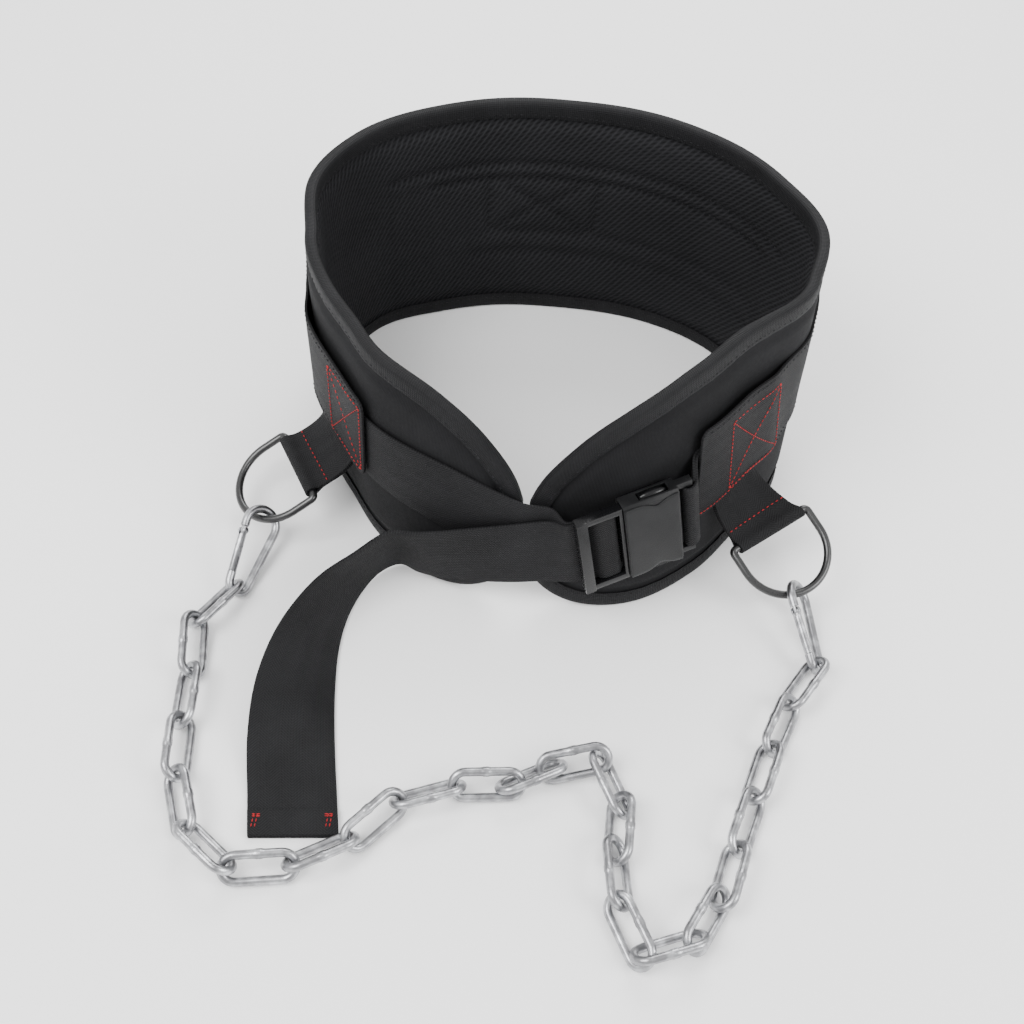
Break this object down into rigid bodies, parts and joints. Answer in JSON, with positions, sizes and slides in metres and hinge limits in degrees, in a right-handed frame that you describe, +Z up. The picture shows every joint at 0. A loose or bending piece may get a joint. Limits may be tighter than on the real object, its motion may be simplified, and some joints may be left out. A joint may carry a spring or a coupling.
{
  "type": "dip belt",
  "caption": "Flared padded waist belt for hanging weight at dips, with a fastened webbing strap, side rings and a steel chain on snap hooks.",
  "frame": {"origin": "under the middle of the back wall, halfway through its thickness, on the surface the belt stands on", "axes": "+X to the wearer's left as seen from the front (right in the picture), +Y to the back of the belt, +Z up along the back wall"},
  "size_m": [0.3951, 0.5278, 0.166],
  "materials": {
    "pad_cloth": "black air mesh inside, smooth black cloth outside",
    "webbing": "black woven webbing with red stitching",
    "black_wire": "satin black",
    "buckle_plastic": "fine grain, worn shiny at the edges",
    "galvanised_steel": "galvanised, dull"
  },
  "bodies": {
    "belt": {"belt_pad": "pad_cloth", "edge_binding": "webbing", "outer_band": "webbing", "d_ring_left": "black_wire", "d_ring_right": "black_wire", "ring_loop_left": "webbing", "ring_loop_right": "webbing", "buckle_female": "buckle_plastic", "buckle_male": "buckle_plastic", "main_strap": "webbing", "short_strap": "webbing", "hook_left": "galvanised_steel", "hook_right": "galvanised_steel", "chain_link_01": "galvanised_steel", "chain_link_02": "galvanised_steel", "chain_link_03": "galvanised_steel", "chain_link_04": "galvanised_steel", "chain_link_05": "galvanised_steel", "chain_link_06": "galvanised_steel", "chain_link_07": "galvanised_steel", "chain_link_08": "galvanised_steel", "chain_link_09": "galvanised_steel", "chain_link_10": "galvanised_steel", "chain_link_11": "galvanised_steel", "chain_link_12": "galvanised_steel", "chain_link_13": "galvanised_steel", "chain_link_14": "galvanised_steel", "chain_link_15": "galvanised_steel", "chain_link_16": "galvanised_steel", "chain_link_17": "galvanised_steel", "chain_link_18": "galvanised_steel", "chain_link_19": "galvanised_steel", "chain_link_20": "galvanised_steel", "chain_link_21": "galvanised_steel", "chain_link_22": "galvanised_steel", "chain_link_23": "galvanised_steel", "chain_link_24": "galvanised_steel"},
    "gate_left": {"gate_left": "galvanised_steel"},
    "gate_right": {"gate_right": "galvanised_steel"}
  },
  "joints": [
    {"name": "gate_left_hinge", "type": "hinge", "parent": "belt", "child": "gate_left", "pos_m": [-0.18538, -0.25843, 0.02329], "axis": [0.6355, -0.3515, 0.6875], "range_deg": [0, 22], "stiffness_Nm_per_rad": 0.01},
    {"name": "gate_right_hinge", "type": "hinge", "parent": "belt", "child": "gate_right", "pos_m": [0.16096, -0.28153, 0.02421], "axis": [0.7696, 0.0123, 0.6384], "range_deg": [0, 22], "stiffness_Nm_per_rad": 0.01}
  ]
}
